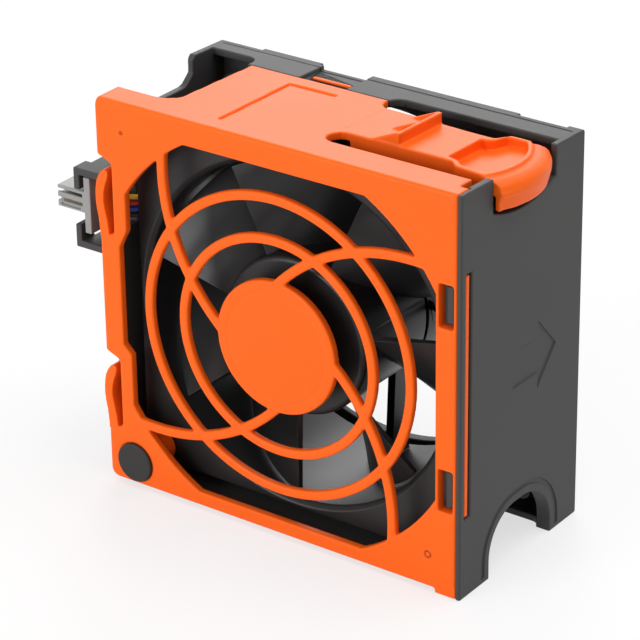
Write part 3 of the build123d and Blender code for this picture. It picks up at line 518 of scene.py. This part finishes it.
layer_tone = group_math(layered, "MULTIPLY", layer_height, layer_shade)
layer_colour = layered.nodes.new("ShaderNodeMix")
layer_colour.data_type = "RGBA"
layered.links.new(layer_tone, layer_colour.inputs["Factor"])
layered.links.new(layered_in.outputs["Line Colour"], layer_colour.inputs["A"])
layered.links.new(layered_in.outputs["Colour"], layer_colour.inputs["B"])
layer_gloss = group_math(layered, "MULTIPLY", layer_mottle, 0.3)
layered.links.new(layer_colour.outputs["Result"], layered_out.inputs["Colour"])
layered.links.new(group_math(layered, "ADD", layer_gloss, 0.2), layered_out.inputs["Roughness"])
layered.links.new(layer_height, layered_out.inputs["Height"])

sheet_values = {
    "Colour": (0.33, 0.33, 0.35, 1),
    "Line Colour": (0.08, 0.07, 0.07, 1),
    "Pitch": 0.5 * MM,
    "Direction": (0, 1, 0),
}
sheet_steel, sheet_shader = grouped_material(
    "sheet_steel", layered, sheet_values, bump_strength=0.8, bump_depth=0.02 * MM
)
sheet_shader.inputs["Metallic"].default_value = 1.0
dress("stator_core", sheet_steel)
insulator_ivory = moulded_plastic(
    "insulator_ivory",
    (0.62, 0.59, 0.5),
    roughness=0.45,
    clouding=0.05,
    grain_scale=2500.0,
    grain_contrast=0.04,
    grain_height=0.008 * MM,
)
dress("stator_insulator", insulator_ivory)

# Coils: one enamelled wire per tooth, wound out and back in two layers, and the same winding
# on all six teeth. Geometry Nodes turn the wire's path into wire and set it round the axis.
wire_radius = 0.35 * MM
coil_count = 6
turns = 6
tooth_half_width = 1.5
tooth_half_depth = 7.3
tooth_middle = -4.5
winding_ends = (8.8, 13.1)
first_lift = 0.4
layer_step = 0.72
corner_sides = ((1, 1), (-1, 1), (-1, -1), (1, -1))
bends = 3
wire_points = []
for layer, (first, last) in enumerate((winding_ends, winding_ends[::-1])):
    lift = first_lift + layer_step * layer
    for step in range(turns * len(corner_sides) * bends):
        corner, bend = divmod(step, bends)
        side = corner_sides[corner % len(corner_sides)]
        share = step / (turns * len(corner_sides) * bends)
        round_angle = math.radians(90 * (corner % len(corner_sides)) + 45 * bend)
        across = side[0] * tooth_half_width + lift * math.cos(round_angle)
        along = side[1] * tooth_half_depth + lift * math.sin(round_angle) + tooth_middle
        wire_points.append(Vector((first + (last - first) * share, along, across)) * MM)
winding_work = bmesh.new()
wire_corners = [winding_work.verts.new(point) for point in wire_points]
for before, after in zip(wire_corners, wire_corners[1:]):
    winding_work.edges.new((before, after))
winding_path = mesh_object(winding_work, "winding_path")

coil_enamel = turned_metal(
    "coil_enamel", (0.55, 0.19, 0.06), roughness=0.3, ring_scale=9000.0, contrast=0.1
)
wound = bpy.data.node_groups.new("wound_coils", "GeometryNodeTree")
wound_sockets = {}
for socket_name, socket_type in (
    ("Geometry", "NodeSocketGeometry"),
    ("Wire Radius", "NodeSocketFloat"),
    ("Coil Count", "NodeSocketInt"),
    ("Axis Height", "NodeSocketFloat"),
    ("Material", "NodeSocketMaterial"),
):
    wound_sockets[socket_name] = wound.interface.new_socket(
        socket_name, in_out="INPUT", socket_type=socket_type
    )
wound.interface.new_socket("Geometry", in_out="OUTPUT", socket_type="NodeSocketGeometry")
wound_in = wound.nodes.new("NodeGroupInput")
wound_out = wound.nodes.new("NodeGroupOutput")
wire_line = wound.nodes.new("GeometryNodeMeshToCurve")
wire_round = wound.nodes.new("GeometryNodeCurvePrimitiveCircle")
wire_round.inputs["Resolution"].default_value = 6
wire_skin = wound.nodes.new("GeometryNodeCurveToMesh")
wire_skin.inputs["Fill Caps"].default_value = True
teeth = wound.nodes.new("GeometryNodePoints")
set_round = wound.nodes.new("GeometryNodeInstanceOnPoints")
which_tooth = wound.nodes.new("GeometryNodeInputIndex")
tooth_step = group_math(wound, "DIVIDE", -math.tau, wound_in.outputs["Coil Count"])
tooth_turn = group_math(wound, "MULTIPLY", which_tooth.outputs["Index"], tooth_step)
tooth_rotation = wound.nodes.new("ShaderNodeCombineXYZ")
axis_place = wound.nodes.new("ShaderNodeCombineXYZ")
to_axis = wound.nodes.new("GeometryNodeTransform")
made_real = wound.nodes.new("GeometryNodeRealizeInstances")
coated = wound.nodes.new("GeometryNodeSetMaterial")
for outlet, inlet in (
    (wound_in.outputs["Geometry"], wire_line.inputs["Mesh"]),
    (wound_in.outputs["Wire Radius"], wire_round.inputs["Radius"]),
    (wire_line.outputs["Curve"], wire_skin.inputs["Curve"]),
    (wire_round.outputs["Curve"], wire_skin.inputs["Profile Curve"]),
    (wound_in.outputs["Coil Count"], teeth.inputs["Count"]),
    (teeth.outputs["Points"], set_round.inputs["Points"]),
    (wire_skin.outputs["Mesh"], set_round.inputs["Instance"]),
    (tooth_turn, tooth_rotation.inputs["Y"]),
    (tooth_rotation.outputs["Vector"], set_round.inputs["Rotation"]),
    (set_round.outputs["Instances"], to_axis.inputs["Geometry"]),
    (wound_in.outputs["Axis Height"], axis_place.inputs["Z"]),
    (axis_place.outputs["Vector"], to_axis.inputs["Translation"]),
    (to_axis.outputs["Geometry"], made_real.inputs["Geometry"]),
    (made_real.outputs["Geometry"], coated.inputs["Geometry"]),
    (wound_in.outputs["Material"], coated.inputs["Material"]),
    (coated.outputs["Geometry"], wound_out.inputs["Geometry"]),
):
    wound.links.new(outlet, inlet)
winding = winding_path.modifiers.new("winding", "NODES")
winding.node_group = wound
for socket_name, value in (
    ("Wire Radius", wire_radius),
    ("Coil Count", coil_count),
    ("Axis Height", fan_axis_height),
    ("Material", coil_enamel),
):
    winding[wound_sockets[socket_name].identifier] = value
bpy.context.view_layer.update()
new_piece(
    "stator_windings", plain_mesh(winding_path), coil_enamel, "stator_coils", "module"
)

# Driver board: glass-fibre board under green lacquer, with copper tracks that show through as
# paler lines, and the controller and its small parts soldered on.
board_green = bpy.data.materials.new("board_green")
board_green.use_nodes = True
board_nodes = board_green.node_tree.nodes
board_links = board_green.node_tree.links
board_shader = board_nodes["Principled BSDF"]
board_place = board_nodes.new("ShaderNodeTexCoord")
board_tracks = board_nodes.new("ShaderNodeTexVoronoi")
board_tracks.feature = "DISTANCE_TO_EDGE"
board_tracks.inputs["Scale"].default_value = 420.0
board_ramp = board_nodes.new("ShaderNodeValToRGB")
board_ramp.color_ramp.elements[0].position = 0.06
board_ramp.color_ramp.elements[0].color = (0.05, 0.3, 0.12, 1)
board_ramp.color_ramp.elements[1].position = 0.1
board_ramp.color_ramp.elements[1].color = (0.015, 0.13, 0.045, 1)
board_bump = board_nodes.new("ShaderNodeBump")
board_bump.inputs["Distance"].default_value = 0.03 * MM
board_rough = board_nodes.new("ShaderNodeMapRange")
board_rough.inputs["To Min"].default_value = 0.2
board_rough.inputs["To Max"].default_value = 0.32
board_links.new(board_place.outputs["Object"], board_tracks.inputs["Vector"])
board_links.new(board_tracks.outputs["Distance"], board_ramp.inputs["Fac"])
board_links.new(board_tracks.outputs["Distance"], board_rough.inputs["Value"])
board_links.new(board_rough.outputs["Result"], board_shader.inputs["Roughness"])
board_links.new(board_ramp.outputs["Color"], board_shader.inputs["Base Color"])
board_links.new(board_ramp.outputs["Color"], board_bump.inputs["Height"])
board_links.new(board_bump.outputs["Normal"], board_shader.inputs["Normal"])
dress("driver_board", board_green)
chip_black = moulded_plastic(
    "chip_black",
    (0.02, 0.02, 0.021),
    roughness=0.5,
    clouding=0.04,
    grain_scale=6000.0,
    grain_contrast=0.1,
    grain_height=0.01 * MM,
)
dress("board_parts", chip_black)

# Leads: four thin stranded wires with coloured plastic insulation, which run from the motor
# through the frame's channel to the plug. The extruded skin is smooth with a faint waviness.
lead_colours = {
    "lead_yellow": (0.72, 0.46, 0.02),
    "lead_red": (0.5, 0.02, 0.015),
    "lead_blue": (0.02, 0.07, 0.4),
    "lead_black": (0.015, 0.015, 0.016),
}
for lead, colour in lead_colours.items():
    lead_skin = moulded_plastic(
        lead + "_skin",
        colour,
        roughness=0.38,
        clouding=0.06,
        grain_scale=1200.0,
        grain_contrast=0.05,
        grain_height=0.01 * MM,
    )
    dress(lead, lead_skin)

# Impeller: hub and blades in one moulding of black glass-filled plastic. The blades are satin,
# and the glass shows as a faint mottle on them.
impeller_black = moulded_plastic(
    "impeller_black",
    (0.016, 0.016, 0.0165),
    roughness=0.36,
    clouding=0.08,
    grain_scale=2200.0,
    grain_contrast=0.06,
    grain_height=0.01 * MM,
)
softened("impeller", "impeller_moulding", 0.3 * MM, "rotor", impeller_black)

# Rotor inside the hub: a deep-drawn steel cup with a bonded ferrite ring, on a ground shaft that
# a spring clip keeps in the bearings.
yoke_steel = turned_metal(
    "yoke_steel", (0.4, 0.4, 0.41), roughness=0.4, ring_scale=4000.0, contrast=0.3
)
shaft_steel = turned_metal(
    "shaft_steel", (0.58, 0.58, 0.59), roughness=0.18, ring_scale=14000.0, contrast=0.08
)
magnet_ferrite = moulded_plastic(
    "magnet_ferrite",
    (0.035, 0.032, 0.03),
    roughness=0.7,
    clouding=0.12,
    grain_scale=3800.0,
    grain_contrast=0.3,
    grain_height=0.03 * MM,
)
dress("rotor_yoke", yoke_steel)
dress("magnet_ring", magnet_ferrite)
dress("shaft", shaft_steel)
dress("shaft_clip", shaft_steel)

# Plug: light grey nylon body that floats in the bracket, with two keying grooves along its front
# and four plated contacts in it. A skin over its solids gives it the soft edges of a moulding.


def skinned(work, voxel, easing, share=1.0, cutter=None):
    """A mesh laid over the closed solids of a bmesh, eased so that all corners are rounded."""
    draft = mesh_object(work, "draft")
    if cutter:
        cut = draft.modifiers.new("cut", "BOOLEAN")
        cut.operation = "DIFFERENCE"
        cut.object = cutter
    skin = draft.modifiers.new("skin", "REMESH")
    skin.mode = "VOXEL"
    skin.voxel_size = voxel
    skin.adaptivity = 0.0
    ease = draft.modifiers.new("ease", "SMOOTH")
    ease.factor = 0.5
    ease.iterations = easing
    if share < 1:
        thin = draft.modifiers.new("thin", "DECIMATE")
        thin.ratio = share
    mesh = plain_mesh(draft)
    if cutter:
        bpy.data.objects.remove(cutter)
    return mesh


def add_solid(work, loops):
    """A closed solid in a bmesh through a row of loops of points, with its normals outwards."""
    rows = [[work.verts.new(point) for point in loop] for loop in loops]
    for first, second in zip(rows, rows[1:]):
        for step in range(len(first)):
            following = (step + 1) % len(first)
            work.faces.new((first[step], second[step], second[following], first[following]))
    work.faces.new(rows[0])
    work.faces.new(reversed(rows[-1]))
    bmesh.ops.recalc_face_normals(work, faces=work.faces)


plug_grey = moulded_plastic(
    "plug_grey",
    (0.29, 0.29, 0.285),
    roughness=0.4,
    clouding=0.05,
    grain_scale=3200.0,
    grain_contrast=0.04,
    grain_height=0.008 * MM,
)
keying_work = bmesh.new()
keying_plan = ((-72.0, -19.6), (-63.6, -19.6), (-63.6, -17.6), (-72.0, -17.6))
for levels in ((69.6, 70.5), (71.9, 72.8)):
    add_solid(keying_work, [[Vector((x, y, z)) * MM for x, y in keying_plan] for z in levels])
keying_cutter = mesh_object(keying_work, "keying_cutter")
plug_mesh = skinned(merged("connector_body"), voxel=0.16 * MM, easing=2, cutter=keying_cutter)
new_piece("plug_moulding", plug_mesh, plug_grey, "connector_body", "connector")
contact_plating = turned_metal(
    "contact_plating", (0.75, 0.55, 0.22), roughness=0.25, ring_scale=8000.0, contrast=0.1
)
dress("connector_contacts", contact_plating)

# Front cover: orange moulding with the face, the finger guard and the top plate in one. Bars,
# window and slots run into each other in small rounds, the guard is two millimetres deep, and
# the gate and an ejector pin left small marks on the satin face.
cover_orange = moulded_plastic(
    "cover_orange",
    (0.95, 0.13, 0.006),
    roughness=0.42,
    clouding=0.03,
    grain_scale=3500.0,
    grain_contrast=0.03,
    grain_height=0.006 * MM,
)
orange_nodes = cover_orange.node_tree.nodes
orange_links = cover_orange.node_tree.links
orange_shader = orange_nodes["Principled BSDF"]
orange_shader.inputs["Specular IOR Level"].default_value = 0.17
orange_place = orange_nodes.new("ShaderNodeTexCoord")
grain_bump = orange_nodes["Bump"]
mark_heights = []
mark_width = 0.28 * MM
face_marks = (((-44.5, -26.0, 96.1), 0.35), ((43.5, -26.0, 10.0), 0.8))
for mark_place, mark_radius in face_marks:
    reach = orange_nodes.new("ShaderNodeVectorMath")
    reach.operation = "DISTANCE"
    reach.inputs[1].default_value = Vector(mark_place) * MM
    orange_links.new(orange_place.outputs["Object"], reach.inputs[0])
    off_ring = group_math(cover_orange.node_tree, "SUBTRACT", reach.outputs["Value"], mark_radius * MM)
    off_ring = group_math(cover_orange.node_tree, "ABSOLUTE", off_ring)
    ring_mark = orange_nodes.new("ShaderNodeMapRange")
    ring_mark.interpolation_type = "SMOOTHSTEP"
    ring_mark.inputs["From Max"].default_value = mark_width
    ring_mark.inputs["To Min"].default_value = 1.0
    ring_mark.inputs["To Max"].default_value = 0.0
    orange_links.new(off_ring, ring_mark.inputs["Value"])
    mark_heights.append(ring_mark.outputs["Result"])
mark_height = group_math(cover_orange.node_tree, "ADD", *mark_heights)
mark_bump = orange_nodes.new("ShaderNodeBump")
mark_bump.inputs["Distance"].default_value = 0.6 * MM
orange_links.new(mark_height, mark_bump.inputs["Height"])
orange_links.new(grain_bump.outputs["Normal"], mark_bump.inputs["Normal"])
orange_links.new(mark_bump.outputs["Normal"], orange_shader.inputs["Normal"])

cover_front = -26.0
cover_height = 103.9
top_slope = math.atan2(cover_height - 101.95, 51.5)


def on_top(across, depth, lift):
    """A point above the sloping top face, from millimetres behind the cover's front face."""
    along = depth * math.cos(top_slope) + lift * math.sin(top_slope)
    height = cover_height - depth * math.sin(top_slope) + lift * math.cos(top_slope)
    return Vector((across, along + cover_front, height)) * MM


def upright_loops(outline, front, back):
    """Loops at two depths, from an outline of x and z in millimetres."""
    return [[Vector((x, depth, z)) * MM for x, z in outline] for depth in (front, back)]


guard_left, guard_right, guard_bottom, guard_top = -47.2, 45.9, 4.2, 98.2
guard_depth = 3.01
guard_share = 0.7
cover_work = merged("front_cover")
for corner in cover_work.verts:
    x, y, z = corner.co / MM
    in_window = guard_left < x < guard_right and guard_bottom < z < guard_top
    if in_window and y - cover_front < guard_depth:
        corner.co.y = (cover_front + (y - cover_front) * guard_share) * MM

# The upper left corner is rounded, and a shallow groove runs round a field of the top face.
corner_radius = 1.8
corner_middle = (-50.7, 102.05)
corner_outline = [(-53.5, 102.05)]
for turn in range(0, 91, 15):
    x = corner_middle[0] - corner_radius * math.cos(math.radians(turn))
    z = corner_middle[1] + corner_radius * math.sin(math.radians(turn))
    corner_outline.append((x, z))
corner_outline += [(-50.7, 104.9), (-53.5, 104.9)]
groove_plan = (
    (-19.55, 5.8), (-20.35, 35.0), (-6.3, 35.1), (-6.3, 34.1), (-19.42, 34.0), (-18.65, 5.8),
)
groove_lifts = (-0.75, 0.6)
cutter_work = bmesh.new()
add_solid(cutter_work, upright_loops(corner_outline, -27.0, -12.0))
add_solid(cutter_work, [[on_top(x, y, lift) for x, y in groove_plan] for lift in groove_lifts])
cover_cutter = mesh_object(cutter_work, "cover_cutter")
cover_mesh = skinned(cover_work, voxel=0.3 * MM, easing=3, share=0.36, cutter=cover_cutter)
new_piece("cover_moulding", cover_mesh, cover_orange, "front_cover", "module")

# Bumper: a black rubber pad that is pressed into a hole at the lower left of the face. Its dull
# skin has the fine grain of its mould.
bumper_rubber = moulded_plastic(
    "bumper_rubber",
    (0.02, 0.019, 0.018),
    roughness=0.6,
    clouding=0.08,
    grain_scale=2600.0,
    grain_contrast=0.12,
    grain_height=0.02 * MM,
)
dress("corner_bumper", bumper_rubber)

# Leaf springs: bowed orange strips that stand in slots of the cover's left border and press on
# the wall of the bay. They are one moulding with the border, which they leave at the slot's
# foot, so each bends there when it is pressed in.
leaf_left = (
    (-1.2, -52.35), (0.6, -52.45), (3.9, -52.75), (6.5, -53.25), (9.0, -53.45), (11.5, -53.3),
    (13.6, -52.9), (15.3, -52.1), (16.5, -51.2), (17.0, -50.2),
)
leaf_right = (
    (-1.2, -49.5), (0.6, -49.7), (3.1, -49.95), (5.7, -50.55), (8.3, -51.0), (10.6, -50.9),
    (12.8, -50.3), (14.4, -49.7), (15.6, -49.4), (16.4, -49.35),
)
leaf_front, leaf_back = -25.9, -21.7
leaf_roots = {"upper": 68.3, "lower": 15.7}
for spring_name, leaf_root in leaf_roots.items():
    leaf_outline = [(x, leaf_root + height) for height, x in leaf_left + leaf_right[::-1]]
    leaf_work = bmesh.new()
    add_solid(leaf_work, upright_loops(leaf_outline, leaf_front, leaf_back))
    leaf = new_piece(
        spring_name + "_spring_moulding",
        skinned(leaf_work, voxel=0.14 * MM, easing=14),
        cover_orange,
        spring_name + "_leaf_spring",
    )
    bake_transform(leaf)

# Latch: spring arm with a tooth, and a thumb pad with a tray and a rounded nose, in the cover's
# orange. The pad's rims and the tooth run into each other in generous rounds, so the whole piece
# is laid over with a fine skin and eased, which rounds the inner corners as well as the outer.
nose_centre = (31.5, 23.75)
band_profile = (
    (20.2, -3.4), (20.2, -0.45), (21.2, -0.62), (22.6, -0.86), (23.8, -1.22),
    (24.5, -1.7), (24.95, -2.4), (25.05, -3.4),
)
band_steps = 60
band_from, band_sweep = -31.0, 74.0
bay_front, bay_back = 13.2, 39.1
chamfer_x, chamfer_depth, chamfer_slope = 52.8, 37.0, 0.885
skirt_plan = ((52.8, 13.15), (54.1, 13.15), (54.1, 15.6), (52.8, 15.6))
skirt_lifts = (-7.7, -2.6)
gap_end, root_end, root_drop = 8.45, 7.5, 0.02
latch_work = merged("latch_arm")
for corner in latch_work.verts:
    if corner.co.x < gap_end * MM:
        corner.co.x = root_end * MM
        corner.co.z -= root_drop * MM
band_loops = []
for step in range(band_steps + 1):
    turn = math.radians(band_from + band_sweep * step / band_steps)
    loop = []
    for radius, lift in band_profile:
        across = nose_centre[0] + radius * math.cos(turn)
        depth = nose_centre[1] + radius * math.sin(turn)
        depth = min(depth, bay_back, chamfer_depth + (chamfer_x - across) * chamfer_slope)
        loop.append(on_top(across, max(depth, bay_front), lift))
    band_loops.append(loop)
add_solid(latch_work, band_loops)
add_solid(latch_work, [[on_top(x, y, lift) for x, y in skirt_plan] for lift in skirt_lifts])
latch_mesh = skinned(latch_work, voxel=0.22 * MM, easing=7)
latch = new_piece("latch_moulding", latch_mesh, cover_orange, "latch_arm")
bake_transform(latch)
